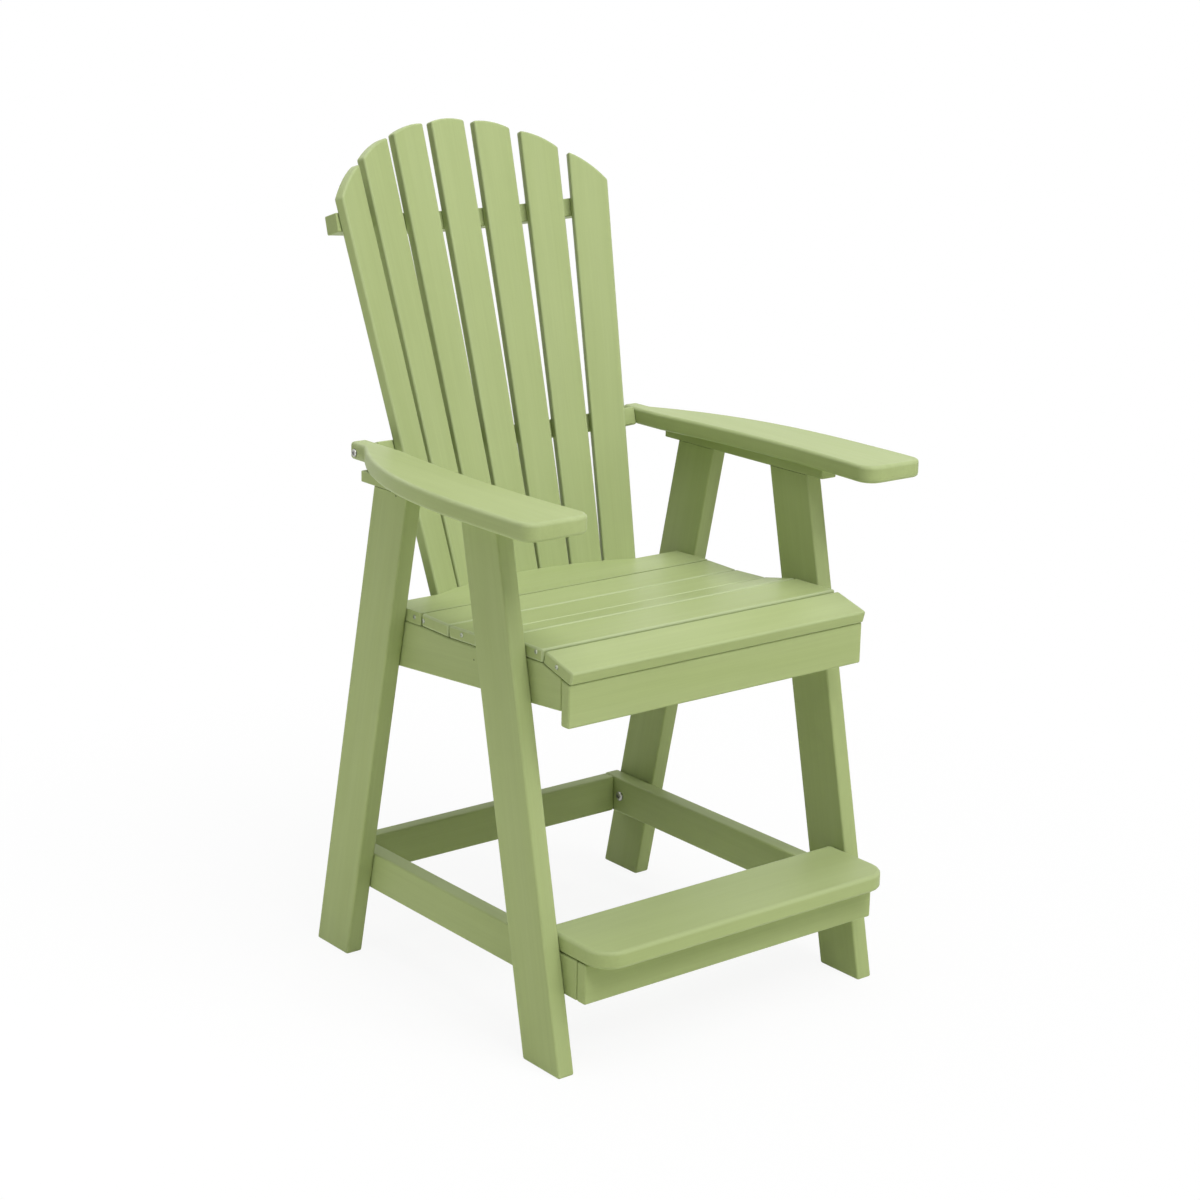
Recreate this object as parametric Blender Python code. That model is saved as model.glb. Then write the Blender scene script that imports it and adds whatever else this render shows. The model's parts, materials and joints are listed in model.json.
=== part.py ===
"""Counter-height fan-back armchair, bolted together from straight and sawn boards.

Metres, +Z up, the sitter faces -Y.  Left is -X, as seen by someone looking at the front of the chair.
The origin is on the floor, under the middle of the finished chair.
"""
import math

import bmesh
import bpy
from mathutils import Matrix, Vector

# Fit and edge finish
CLEARANCE = 0.0003
EASE = 0.0035
PLATE_EASE = 0.0015
ARM_EASE = 0.006
EASE_STEPS = 3
EASE_ANGLE = math.radians(30.0)

# Legs: four equal boards that lean towards each other in side view
OVERALL_LEG_WIDTH = 0.660
LEG_THICK = 0.0305
LEG_WIDTH = 0.0895
LEG_LEAN = math.radians(12.0)
LEG_HEIGHT = 0.828
FOOT_SPAN = 0.677

# Arms and the strips under them; bulges, where an edge is widest, and roots are measured from the tail's end
PLATE_OVERHANG = 0.0357
PLATE_THICK = 0.018
ARM_THICK = 0.029
ARM_FRONT = -0.330
ARM_OUTER_MAX = 0.400
ARM_OUTER_BULGE = 0.478
ARM_OUTER_ROOT = 0.0405
ARM_OUTER_FULLNESS = 2.7
ARM_INNER_MAX = 0.285
ARM_INNER_BULGE = 0.383
ARM_INNER_ROOT = 0.103
ARM_INNER_FULLNESS = 2.0
ARM_OUTER_CORNER = 0.022
ARM_INNER_CORNER = 0.027
ARM_STEPS = 12
TAIL_OUTER = 0.2985
TAIL_WIDTH = 0.031
TAIL_BEHIND_BACK = 0.0103

# Seat: slats from rear to front on two dished side rails
SEAT_HEIGHT = 0.635
SEAT_REAR_JOINT = 0.0745
SEAT_SLAT_THICK = 0.021
SEAT_SLAT_WIDTH = 0.0725
SEAT_FRONT_SLAT_WIDTH = 0.0925
SEAT_SLAT_GAP = 0.002
REAR_SLAT_TILT = math.radians(1.5)
SEAT_SLAT_TILTS = tuple(math.radians(t) for t in (-1.0, 2.5, 11.5, 1.0))
NOSING_WIDTH = 0.0695
NOSING_GAP = 0.004
NOSING_TILT = math.radians(-15.8)
NOSING_OVERHANG = 0.002
REAR_SLAT_DEPTH = 0.125
SEAT_RAIL_THICK = 0.031
SEAT_RAIL_DROP_FRONT = 0.0665
SEAT_RAIL_DROP_REAR = 0.1095
SEAT_RAIL_INSET = 0.0032
APRON_THICK = 0.0195
APRON_DROP = 0.0895

# Back: seven tapered slats in a fan, hollowed towards the sitter, on three sawn rails
BACK_DROP = 0.005
BACK_LEAN = math.radians(17.6)
BACK_SLAT_COUNT = 7
BACK_SLAT_THICK = 0.018
BACK_SLAT_WIDTH = 0.0582
BACK_SLAT_TOP_WIDTH = 0.0655
BACK_SLAT_TAIL = 0.085
BACK_SLAT_GAP = 0.0033
BACK_SLAT_TOP_GAP = 0.0152
BACK_RADIUS = 0.548
BACK_TOP_RADIUS = 0.6278
FAN_HEIGHT = 0.600
CREST_RADIUS = 0.352
CREST_HEIGHT = 0.7695
CREST_CROWN = 0.003
CREST_STEPS = 6
BACK_RAIL_HEIGHT = 0.031
BACK_RAIL_DEPTH = 0.033
BACK_RAIL_STEPS = 16
UPPER_RAIL_DROP = 0.1645
UPPER_RAIL_OVERHANG = 0.001
SLAT_SEAT_MARGIN = 0.001
ARM_RAIL_RISE = 0.0065
LOWER_RAIL_LEVEL = -0.045

# Base: stretchers inside the legs and a footrest across the front
STRETCHER_TOP = 0.187
STRETCHER_HEIGHT = 0.065
STRETCHER_THICK = 0.030
STRETCHER_PROUD = 0.0003
REAR_STRETCHER_THICK = 0.026
REAR_STRETCHER_INSET = 0.003
SUPPORT_THICK = 0.0205
SUPPORT_REACH = 0.0533
FOOTREST_THICK = 0.029
FOOTREST_OVERHANG = 0.043
FOOTREST_WIDTH = 0.145
FOOTREST_CORNER = 0.042

# Bolts: button heads with plain shanks
BOLT_RADIUS = 0.004
BOLT_HEAD_RADIUS = 0.0085
BOLT_HEAD_HEIGHT = 0.0045
BOLT_BITE = 0.020
ARM_BOLT_HEAD_RADIUS = 0.0065
ARM_BOLT_HEAD_HEIGHT = 0.0025
BOLT_SIDES = 16
FRONT_RAIL_BOLT_DROP = 0.047
REAR_RAIL_BOLT_DROP = 0.088
REAR_RAIL_BOLT_SHIFT = 0.016
ARM_BOLT_HEIGHT = 0.012
ARM_BOLT_INSET = 0.0143

# Finishes: base colour, roughness, metallic
LUMBER = ((0.42, 0.49, 0.22, 1.0), 0.55, 0.0)
STEEL = ((0.62, 0.62, 0.60, 1.0), 0.30, 1.0)

# Levels and faces that several boards share
LEG_OUT = OVERALL_LEG_WIDTH / 2
LEG_IN = LEG_OUT - LEG_THICK
FRAME_HALF = LEG_IN - CLEARANCE
RAIL_IN = FRAME_HALF - SEAT_RAIL_THICK
STRETCHER_IN = FRAME_HALF - STRETCHER_THICK
LEG_CUT = LEG_WIDTH / math.cos(LEG_LEAN)
PLATE_BOTTOM = LEG_HEIGHT + CLEARANCE
ARM_BOTTOM = PLATE_BOTTOM + PLATE_THICK + CLEARANCE
TAIL_INNER = TAIL_OUTER - TAIL_WIDTH
BACK_Y = SEAT_REAR_JOINT + REAR_SLAT_DEPTH
BACK_Z = SEAT_HEIGHT - BACK_DROP
ARM_RAIL_LEVEL = (ARM_BOTTOM - BACK_Z) / math.cos(BACK_LEAN) + ARM_RAIL_RISE
TAIL_REAR = BACK_Y + (ARM_BOTTOM - BACK_Z) * math.tan(BACK_LEAN) + TAIL_BEHIND_BACK
UPPER_RAIL_LEVEL = CREST_HEIGHT - UPPER_RAIL_DROP
STRETCHER_MIDDLE = STRETCHER_TOP - STRETCHER_HEIGHT / 2
RAIL_BOLT_PLACES = {
    "front": (FRONT_RAIL_BOLT_DROP, 0.0),
    "rear": (REAR_RAIL_BOLT_DROP, REAR_RAIL_BOLT_SHIFT),
}
SIDES = (("left", -1), ("right", 1))

# Board frames: columns are the outline's two axes and the extrusion axis
SIDE_VIEW = Matrix(((0, 0, 1), (1, 0, 0), (0, 1, 0)))
PLAN_VIEW = Matrix.Identity(3)
BACK_AXES = Matrix((
    (1, 0, 0),
    (0, math.sin(BACK_LEAN), -math.cos(BACK_LEAN)),
    (0, math.cos(BACK_LEAN), math.sin(BACK_LEAN)),
))
BACK_ORIGIN = Vector((0.0, BACK_Y, BACK_Z))


def clear_scene():
    for obj in list(bpy.data.objects):
        bpy.data.objects.remove(obj, do_unlink=True)


def finish(name, look):
    """One Principled material for one piece."""
    colour, roughness, metallic = look
    material = bpy.data.materials.new(name + "_finish")
    material.use_nodes = True
    shader = material.node_tree.nodes["Principled BSDF"]
    shader.inputs["Base Color"].default_value = colour
    shader.inputs["Roughness"].default_value = roughness
    shader.inputs["Metallic"].default_value = metallic
    return material


def add_object(name, bm, look, root, ease=0.0):
    """Turns a bmesh into a named piece under the root, with its edges eased."""
    bmesh.ops.recalc_face_normals(bm, faces=bm.faces)
    mesh = bpy.data.meshes.new(name)
    bm.to_mesh(mesh)
    bm.free()
    mesh.materials.append(finish(name, look))
    obj = bpy.data.objects.new(name, mesh)
    bpy.context.scene.collection.objects.link(obj)
    obj.parent = root
    if ease:
        bevel = obj.modifiers.new("eased_edges", "BEVEL")
        bevel.width = ease
        bevel.segments = EASE_STEPS
        bevel.limit_method = "ANGLE"
        bevel.angle_limit = EASE_ANGLE
    return obj


def keep_square(obj, level):
    """Eases a board's edges by weight, with none on the end that is sawn square at a level."""
    mesh = obj.data
    weights = mesh.attributes.new("bevel_weight_edge", "FLOAT", "EDGE")
    for edge in mesh.edges:
        eased = any(abs(mesh.vertices[v].co.y - level) > CLEARANCE for v in edge.vertices)
        weights.data[edge.index].value = float(eased)
    obj.modifiers["eased_edges"].limit_method = "WEIGHT"


def board(name, outline, depth, axes, origin, root, ease=EASE):
    """A flat outline, extruded along the third axis of its frame and placed at an origin."""
    bm = bmesh.new()
    face = bm.faces.new([bm.verts.new((u, v, 0.0)) for u, v in outline])
    grown = bmesh.ops.extrude_face_region(bm, geom=[face])
    moved = [item for item in grown["geom"] if isinstance(item, bmesh.types.BMVert)]
    bmesh.ops.translate(bm, verts=moved, vec=(0.0, 0.0, depth))
    obj = add_object(name, bm, LUMBER, root, ease)
    obj.matrix_local = Matrix.Translation(origin) @ axes.to_4x4()
    return obj


def loft(name, lower, upper, root, ease=EASE):
    """A closed solid between two outlines with the same number of corners."""
    bm = bmesh.new()
    rings = [[bm.verts.new(p) for p in ring] for ring in (lower, upper)]
    for ring in rings:
        bm.faces.new(ring)
    count = len(lower)
    for i in range(count):
        j = (i + 1) % count
        bm.faces.new((rings[0][i], rings[0][j], rings[1][j], rings[1][i]))
    return add_object(name, bm, LUMBER, root, ease)


def rectangle(u0, u1, v0, v1):
    return [(u0, v0), (u1, v0), (u1, v1), (u0, v1)]


def mirrored(outline):
    return [(-u, v) for u, v in reversed(outline)]


def fillet(before, corner, after, radius, steps=5):
    """Points of an arc that rounds a corner between two neighbouring points."""
    corner = Vector(corner)
    to_before = (Vector(before) - corner).normalized()
    to_after = (Vector(after) - corner).normalized()
    half = to_before.angle(to_after) / 2
    centre = corner + (to_before + to_after).normalized() * (radius / math.sin(half))
    start = corner + to_before * (radius / math.tan(half)) - centre
    end = corner + to_after * (radius / math.tan(half)) - centre
    return [tuple(centre + radius * start.slerp(end, i / steps)) for i in range(steps + 1)]


def leg_front(kind, z):
    """Y of a leg's front edge at a height; front legs lean back, rear legs lean forward."""
    if kind == "front":
        return -FOOT_SPAN / 2 + z * math.tan(LEG_LEAN)
    return FOOT_SPAN / 2 - LEG_CUT - z * math.tan(LEG_LEAN)


def leg_middle(kind, z):
    return leg_front(kind, z) + LEG_CUT / 2


def leg_rear(kind, z):
    return leg_front(kind, z) + LEG_CUT


def make_legs(root):
    legs = {}
    for kind in ("front", "rear"):
        foot, top = leg_front(kind, 0.0), leg_front(kind, LEG_HEIGHT)
        outline = [(foot, 0.0), (foot + LEG_CUT, 0.0), (top + LEG_CUT, LEG_HEIGHT), (top, LEG_HEIGHT)]
        for side, sign in SIDES:
            inner = LEG_IN if sign > 0 else -LEG_OUT
            leg = board(f"leg_{kind}_{side}", outline, LEG_THICK, SIDE_VIEW, (inner, 0.0, 0.0), root)
            keep_square(leg, LEG_HEIGHT)
            legs[kind, side] = leg
    return legs


def make_arm_plates(root):
    half = PLATE_OVERHANG - leg_front("front", LEG_HEIGHT)
    outline = rectangle(-LEG_THICK / 2, LEG_THICK / 2, -half, half)
    for side, sign in SIDES:
        origin = (sign * (LEG_IN + LEG_OUT) / 2, 0.0, PLATE_BOTTOM)
        board(f"arm_plate_{side}", outline, PLATE_THICK, PLAN_VIEW, origin, root, PLATE_EASE)


def bow(y, widest, at, tail, root, fullness):
    """X on a bowed edge that is widest at one Y and comes in to the tail's X at its root."""
    return widest - (widest - tail) * abs((y - at) / (root - at)) ** fullness


def arm_edge(front, root, *shape):
    """Points of one bowed edge, from a front Y to the tail's root."""
    ys = [front + (root - front) * i / ARM_STEPS for i in range(ARM_STEPS + 1)]
    return [(bow(y, *shape), y) for y in ys]


def arm_outline():
    """Plan of the right arm: bowed edges, rounded front corners and a narrow tail at the rear."""
    outer_root = TAIL_REAR - ARM_OUTER_ROOT
    inner_root = TAIL_REAR - ARM_INNER_ROOT
    outer_bow = (ARM_OUTER_MAX, TAIL_REAR - ARM_OUTER_BULGE, TAIL_OUTER, outer_root, ARM_OUTER_FULLNESS)
    inner_bow = (ARM_INNER_MAX, TAIL_REAR - ARM_INNER_BULGE, TAIL_INNER, inner_root, ARM_INNER_FULLNESS)
    outer = arm_edge(ARM_FRONT + 2 * ARM_OUTER_CORNER, outer_root, *outer_bow)
    inner = arm_edge(ARM_FRONT + 2 * ARM_INNER_CORNER, inner_root, *inner_bow)
    outer_corner = (bow(ARM_FRONT, *outer_bow), ARM_FRONT)
    inner_corner = (bow(ARM_FRONT, *inner_bow), ARM_FRONT)
    tail = [(TAIL_OUTER, TAIL_REAR), (TAIL_INNER, TAIL_REAR)]
    return (fillet(inner[0], inner_corner, outer_corner, ARM_INNER_CORNER)
            + fillet(inner_corner, outer_corner, outer[0], ARM_OUTER_CORNER)
            + outer + tail + inner[::-1])


def make_arms(root):
    outline = arm_outline()
    arms = {}
    for side, sign in SIDES:
        plan = outline if sign > 0 else mirrored(outline)
        origin = (0.0, 0.0, ARM_BOTTOM)
        arms[side] = board(f"arm_{side}", plan, ARM_THICK, PLAN_VIEW, origin, root, ARM_EASE)
    return arms


def seat_walk():
    """Corners of the slats' middle line in side view, from the rear joint to the front of the nosing."""
    widths = [SEAT_SLAT_WIDTH] * (len(SEAT_SLAT_TILTS) - 1) + [SEAT_FRONT_SLAT_WIDTH, NOSING_WIDTH]
    tilts = SEAT_SLAT_TILTS + (NOSING_TILT,)
    gaps = [SEAT_SLAT_GAP] * len(SEAT_SLAT_TILTS) + [NOSING_GAP, 0.0]
    point = Vector((SEAT_REAR_JOINT, SEAT_HEIGHT - SEAT_SLAT_THICK / 2))
    corners = [point]
    for width, tilt, before, after in zip(widths, tilts, gaps, gaps[1:]):
        point = point + (width + (before + after) / 2) * Vector((-math.cos(tilt), math.sin(tilt)))
        corners.append(point)
    return corners, tilts, gaps


def slat_section(start, end, before, after):
    """Rectangle between two corners of the middle line, short of each by half of the gap there."""
    along = (end - start).normalized()
    up = Vector((along.y, -along.x)) * (SEAT_SLAT_THICK / 2)
    first = start + along * (before / 2)
    last = end - along * (after / 2)
    return [tuple(first - up), tuple(first + up), tuple(last + up), tuple(last - up)]


def underside(corners, tilts):
    """The middle line moved down to where the slats rest on the side rails."""
    drop = SEAT_SLAT_THICK / 2 + CLEARANCE
    points = []
    for i, corner in enumerate(corners):
        before = tilts[max(i - 1, 0)] if i else REAR_SLAT_TILT
        after = tilts[min(i, len(tilts) - 1)]
        middle = (before + after) / 2
        reach = drop / math.cos((after - before) / 2)
        points.append(corner - reach * Vector((math.sin(middle), math.cos(middle))))
    return points


def seat_level(y, drop):
    """Height of the rear slat's middle plane at a Y, less a drop."""
    return SEAT_HEIGHT - SEAT_SLAT_THICK / 2 - drop + (SEAT_REAR_JOINT - y) * math.tan(REAR_SLAT_TILT)


def make_seat(root):
    corners, tilts, gaps = seat_walk()
    length = 2 * FRAME_HALF
    names = [f"seat_slat_{i + 1}" for i in range(1, len(tilts))] + ["seat_nosing"]
    for name, start, end, before, after in zip(names, corners, corners[1:], gaps, gaps[1:]):
        section = slat_section(start, end, before, after)
        board(name, section, length, SIDE_VIEW, (-FRAME_HALF, 0.0, 0.0), root)
    make_rear_slat(root)

    rest = underside(corners, tilts)
    nosing_slope = math.tan(NOSING_TILT)
    nosing_front = rest[-1].y
    apron_front = rest[-1].x + NOSING_OVERHANG
    apron_rear = apron_front + APRON_THICK

    def under_nosing(y):
        return nosing_front - (y - rest[-1].x) * nosing_slope

    apron_bottom = SEAT_HEIGHT - APRON_DROP
    apron = [(apron_front, apron_bottom), (apron_rear, apron_bottom),
             (apron_rear, under_nosing(apron_rear)), (apron_front, under_nosing(apron_front))]
    board("seat_apron", apron, length, SIDE_VIEW, (-FRAME_HALF, 0.0, 0.0), root)

    front = apron_rear + CLEARANCE
    rear_bottom = SEAT_HEIGHT - SEAT_RAIL_DROP_REAR
    rear = leg_rear("rear", SEAT_HEIGHT - SEAT_RAIL_DROP_REAR / 2) - SEAT_RAIL_INSET
    rear_top = seat_level(rear, SEAT_SLAT_THICK / 2 + CLEARANCE)
    profile = ([(front, SEAT_HEIGHT - SEAT_RAIL_DROP_FRONT), (rear, rear_bottom), (rear, rear_top)]
               + [tuple(p) for p in rest[:-1]] + [(front, under_nosing(front))])
    rails = {}
    for side, sign in SIDES:
        origin = (RAIL_IN if sign > 0 else -FRAME_HALF, 0.0, 0.0)
        rails[side] = board(f"seat_rail_{side}", profile, SEAT_RAIL_THICK, SIDE_VIEW, origin, root)
    return rails


def make_rear_slat(root):
    """The slat under the back: its rear edge follows the back slats, with a straight ear at each end."""
    front = SEAT_REAR_JOINT + SEAT_SLAT_GAP / 2
    normal = Vector((0.0, math.tan(REAR_SLAT_TILT), 1.0))
    outlines = []
    for drop in (SEAT_SLAT_THICK / 2, -SEAT_SLAT_THICK / 2):
        edge = slat_trace(-CLEARANCE, Vector((0.0, 0.0, seat_level(0.0, drop))), normal)
        corners = [Vector((sign * FRAME_HALF, front, seat_level(front, drop))) for sign in (-1, 1)]
        outlines.append(corners + at_end(edge[::-1], FRAME_HALF, -FRAME_HALF))
    loft("seat_slat_1", outlines[0], outlines[1], root)


def up_the_back(foot, top, s):
    """A size that grows evenly up the back, at a distance s from its origin."""
    return foot + (top - foot) * s / FAN_HEIGHT


def fan_radius(s):
    return up_the_back(BACK_RADIUS, BACK_TOP_RADIUS, s)


def slat_half(s):
    return up_the_back(BACK_SLAT_WIDTH, BACK_SLAT_TOP_WIDTH, s) / 2


def fan_angle(k, s):
    pitch = 2 * slat_half(s) + up_the_back(BACK_SLAT_GAP, BACK_SLAT_TOP_GAP, s)
    return k * pitch / fan_radius(s)


def fan_point(k, s):
    """Middle of slat k's front face at a distance s up the back, in the back's own axes."""
    angle, radius = fan_angle(k, s), fan_radius(s)
    return Vector((radius * math.sin(angle), s, radius * (1 - math.cos(angle))))


def slat_axes(k):
    """Base point and the across, along and facing directions of slat k, in the back's own axes."""
    base = fan_point(k, 0.0)
    along = (fan_point(k, FAN_HEIGHT) - base).normalized()
    turn = (fan_angle(k, 0.0) + fan_angle(k, FAN_HEIGHT)) / 2
    across = Vector((math.cos(turn), 0.0, math.sin(turn)))
    across = (across - along * across.dot(along)).normalized()
    return base, across, along, across.cross(along)


def crest(k, u):
    """Distance up slat k, on the line u across it, where the round crest cuts it."""
    base, across, along, _ = slat_axes(k)
    start = base + across * u - Vector((0.0, CREST_HEIGHT - CREST_RADIUS, 0.0))
    a = along.x**2 + along.y**2
    b = start.x * along.x + start.y * along.y
    c = start.x**2 + start.y**2 - CREST_RADIUS**2
    return (-b + math.sqrt(b * b - a * c)) / a


def slat_outline(k):
    """Tapered outline of slat k with its share of the crest, crowned a little more across the slat."""
    foot = slat_half(-BACK_SLAT_TAIL)
    head = slat_half(crest(k, 0.0))
    us = [head * (1 - 2 * i / CREST_STEPS) for i in range(CREST_STEPS + 1)]
    end = [(u, crest(k, u) + CREST_CROWN * (1 - (u / head)**2)) for u in us]
    return [(-foot, -BACK_SLAT_TAIL), (foot, -BACK_SLAT_TAIL)] + end


def slat_numbers():
    reach = BACK_SLAT_COUNT // 2
    return range(-reach, reach + 1)


def slat_trace(depth, level, normal):
    """Where a plane cuts the slats: the two edges of each slat in turn, a depth behind its front face."""
    points = []
    for k in slat_numbers():
        base, across, along, facing = (BACK_AXES @ v for v in slat_axes(k))
        for side in (-1, 1):
            edge = across * side * (slat_half(0.0) + SLAT_SEAT_MARGIN)
            start = BACK_ORIGIN + base - facing * depth + edge
            run = along + across * side * (slat_half(FAN_HEIGHT) - slat_half(0.0)) / FAN_HEIGHT
            points.append(start + run * (normal.dot(level - start) / normal.dot(run)))
    return points


def make_back_slats(root):
    for k in slat_numbers():
        base, across, along, facing = slat_axes(k)
        axes = BACK_AXES @ Matrix((across, along, facing)).transposed()
        origin = BACK_ORIGIN + BACK_AXES @ (base - facing * BACK_SLAT_THICK)
        number = k + BACK_SLAT_COUNT // 2 + 1
        board(f"back_slat_{number}", slat_outline(k), BACK_SLAT_THICK, axes, origin, root)


def rail_front(level):
    """Front edge of a back rail at one level, with a flat for each slat."""
    up = BACK_AXES @ Vector((0.0, 1.0, 0.0))
    return slat_trace(BACK_SLAT_THICK + CLEARANCE, BACK_ORIGIN + up * level, up)


def rail_outline(level, half):
    """A back rail's outline at one level: flats in front, an arc behind and straight ends."""
    front = rail_front(level)
    radius = fan_radius(level) + BACK_SLAT_THICK + BACK_RAIL_DEPTH
    sweep = math.asin(front[-1].x / radius)
    rear = []
    for i in range(BACK_RAIL_STEPS + 1):
        angle = sweep * (1 - 2 * i / BACK_RAIL_STEPS)
        local = Vector((radius * math.sin(angle), level, fan_radius(level) - radius * math.cos(angle)))
        rear.append(BACK_ORIGIN + BACK_AXES @ local)
    return at_end(front, -half, half) + at_end(rear, half, -half)


def at_end(points, first, last):
    """Adds a straight run along X to each end of a row of points."""
    return [Vector((first, *points[0].yz)), *points, Vector((last, *points[-1].yz))]


def make_back_rails(root):
    upper_half = rail_front(UPPER_RAIL_LEVEL + BACK_RAIL_HEIGHT)[-1].x + UPPER_RAIL_OVERHANG
    plan = {
        "back_rail_upper": (UPPER_RAIL_LEVEL, upper_half),
        "back_rail_arm": (ARM_RAIL_LEVEL, TAIL_INNER - CLEARANCE),
        "back_rail_lower": (LOWER_RAIL_LEVEL, RAIL_IN - CLEARANCE),
    }
    rails = {}
    for name, (level, half) in plan.items():
        lower = rail_outline(level - BACK_RAIL_HEIGHT / 2, half)
        upper = rail_outline(level + BACK_RAIL_HEIGHT / 2, half)
        rails[name] = loft(name, lower, upper, root)
    return rails


def make_base(root):
    bottom = STRETCHER_TOP - STRETCHER_HEIGHT
    side_rear = leg_rear("rear", STRETCHER_MIDDLE) + STRETCHER_PROUD
    support_front = leg_front("front", STRETCHER_MIDDLE) - SUPPORT_REACH
    support_rear = support_front + SUPPORT_THICK
    side_plan = rectangle(support_rear + CLEARANCE, side_rear, bottom, STRETCHER_TOP)
    stretchers = {}
    for side, sign in SIDES:
        inner = STRETCHER_IN if sign > 0 else -FRAME_HALF
        name = f"side_stretcher_{side}"
        stretchers[side] = board(name, side_plan, STRETCHER_THICK, SIDE_VIEW, (inner, 0.0, 0.0), root)
    rear = side_rear - REAR_STRETCHER_INSET
    half = STRETCHER_IN - CLEARANCE
    rear_plan = rectangle(rear - REAR_STRETCHER_THICK, rear, bottom, STRETCHER_TOP)
    board("rear_stretcher", rear_plan, 2 * half, SIDE_VIEW, (-half, 0.0, 0.0), root)
    support_plan = rectangle(support_front, support_rear, bottom, STRETCHER_TOP)
    board("footrest_support", support_plan, 2 * FRAME_HALF, SIDE_VIEW, (-FRAME_HALF, 0.0, 0.0), root)
    front = support_front - FOOTREST_OVERHANG
    left_rear, right_rear = (-FRAME_HALF, front + FOOTREST_WIDTH), (FRAME_HALF, front + FOOTREST_WIDTH)
    left_front, right_front = (-FRAME_HALF, front), (FRAME_HALF, front)
    outline = ([right_rear, left_rear] + fillet(left_rear, left_front, right_front, FOOTREST_CORNER)
               + fillet(left_front, right_front, right_rear, FOOTREST_CORNER))
    origin = (0.0, 0.0, STRETCHER_TOP + CLEARANCE)
    board("footrest_board", outline, FOOTREST_THICK, PLAN_VIEW, origin, root, ARM_EASE)
    return stretchers


def spun(profile):
    """A closed turned solid from a profile of radius and height pairs that starts and ends on the axis."""
    bm = bmesh.new()
    verts = [bm.verts.new((r, 0.0, z)) for r, z in profile]
    edges = [bm.edges.new(pair) for pair in zip(verts, verts[1:])]
    bmesh.ops.spin(bm, geom=verts + edges, cent=(0, 0, 0), axis=(0, 0, 1),
                   angle=2 * math.pi, steps=BOLT_SIDES, use_merge=True)
    bmesh.ops.remove_doubles(bm, verts=bm.verts, dist=1e-6)
    return bm


def drill(target, name, matrix, depth, root):
    """Cuts a round hole for a bolt's shank in a board."""
    radius, overshoot = BOLT_RADIUS + CLEARANCE, BOLT_HEAD_HEIGHT
    bm = spun([(0.0, overshoot), (radius, overshoot), (radius, -depth), (0.0, -depth)])
    cutter = add_object(name, bm, STEEL, root)
    cutter.matrix_local = matrix
    cutter.hide_render = True
    cutter.display_type = "WIRE"
    hole = target.modifiers.new(name, "BOOLEAN")
    hole.operation = "DIFFERENCE"
    hole.solver = "EXACT"
    hole.object = cutter


def bolt(name, head_seat, sign, through, into, reach, root, head=(BOLT_HEAD_RADIUS, BOLT_HEAD_HEIGHT)):
    """A button-head bolt along X whose head sits on one board and whose shank bites into the next."""
    length = reach + BOLT_BITE
    rim, crown = head
    profile = [(0.0, crown), (rim * 0.6, crown * 0.85), (rim, crown * 0.3), (rim, 0.0),
               (BOLT_RADIUS, 0.0), (BOLT_RADIUS, -length), (0.0, -length)]
    seat = Vector(head_seat) + Vector((sign * CLEARANCE, 0.0, 0.0))
    turn = Vector((sign, 0.0, 0.0)).to_track_quat("Z", "Y").to_matrix().to_4x4()
    matrix = Matrix.Translation(seat) @ turn
    obj = add_object(name, spun(profile), STEEL, root)
    obj.matrix_local = matrix
    for label, target in (("through", through), ("into", into)):
        drill(target, f"{name}_{label}_cutter", matrix, length + CLEARANCE, root)


def make_bolts(root, legs, rails, stretchers, arms, back_rails):
    for side, sign in SIDES:
        for kind in ("front", "rear"):
            leg = legs[kind, side]
            seat = (sign * STRETCHER_IN, leg_middle(kind, STRETCHER_MIDDLE), STRETCHER_MIDDLE)
            name = f"stretcher_bolt_{kind}_{side}"
            bolt(name, seat, -sign, stretchers[side], leg, STRETCHER_THICK, root)
            drop, shift = RAIL_BOLT_PLACES[kind]
            z = SEAT_HEIGHT - drop
            seat = (sign * RAIL_IN, leg_middle(kind, z) + shift, z)
            bolt(f"seat_rail_bolt_{kind}_{side}", seat, -sign, rails[side], leg, SEAT_RAIL_THICK, root)
        seat = (sign * TAIL_OUTER, TAIL_REAR - ARM_BOLT_INSET, ARM_BOTTOM + ARM_BOLT_HEIGHT)
        bolt(f"arm_bolt_{side}", seat, sign, arms[side], back_rails["back_rail_arm"], TAIL_WIDTH, root,
             (ARM_BOLT_HEAD_RADIUS, ARM_BOLT_HEAD_HEIGHT))


def centre_on_floor(root):
    """Moves the chair so that the origin is under the middle of its finished outline."""
    bpy.context.view_layer.update()
    graph = bpy.context.evaluated_depsgraph_get()
    ys = []
    for obj in root.children:
        if not obj.hide_render:
            shape = obj.evaluated_get(graph)
            ys += [(obj.matrix_world @ v.co).y for v in shape.data.vertices]
    root.location.y = -(min(ys) + max(ys)) / 2
    bpy.context.view_layer.update()


def main():
    clear_scene()
    root = bpy.data.objects.new("chair_origin", None)
    bpy.context.scene.collection.objects.link(root)
    legs = make_legs(root)
    make_arm_plates(root)
    arms = make_arms(root)
    rails = make_seat(root)
    make_back_slats(root)
    back_rails = make_back_rails(root)
    stretchers = make_base(root)
    make_bolts(root, legs, rails, stretchers, arms, back_rails)
    centre_on_floor(root)


main()
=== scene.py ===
# %% [markdown]
# # Dressing a counter chair made of boards
#
# The real chair is a kit of coloured boards, eased along every edge and held by bolts and screws.
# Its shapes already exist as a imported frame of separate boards.  This lesson gives those boards a finish
# whose grain follows each one, makes the bolts and screws, and sets up the camera and a white studio.
#
# The first cell clears the default scene and loads the frame.  A node of the frame sits at the world's
# origin with its place in its mesh, so everything that is made later can use the same coordinates.

# %% Load the frame
import json
import math

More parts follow.
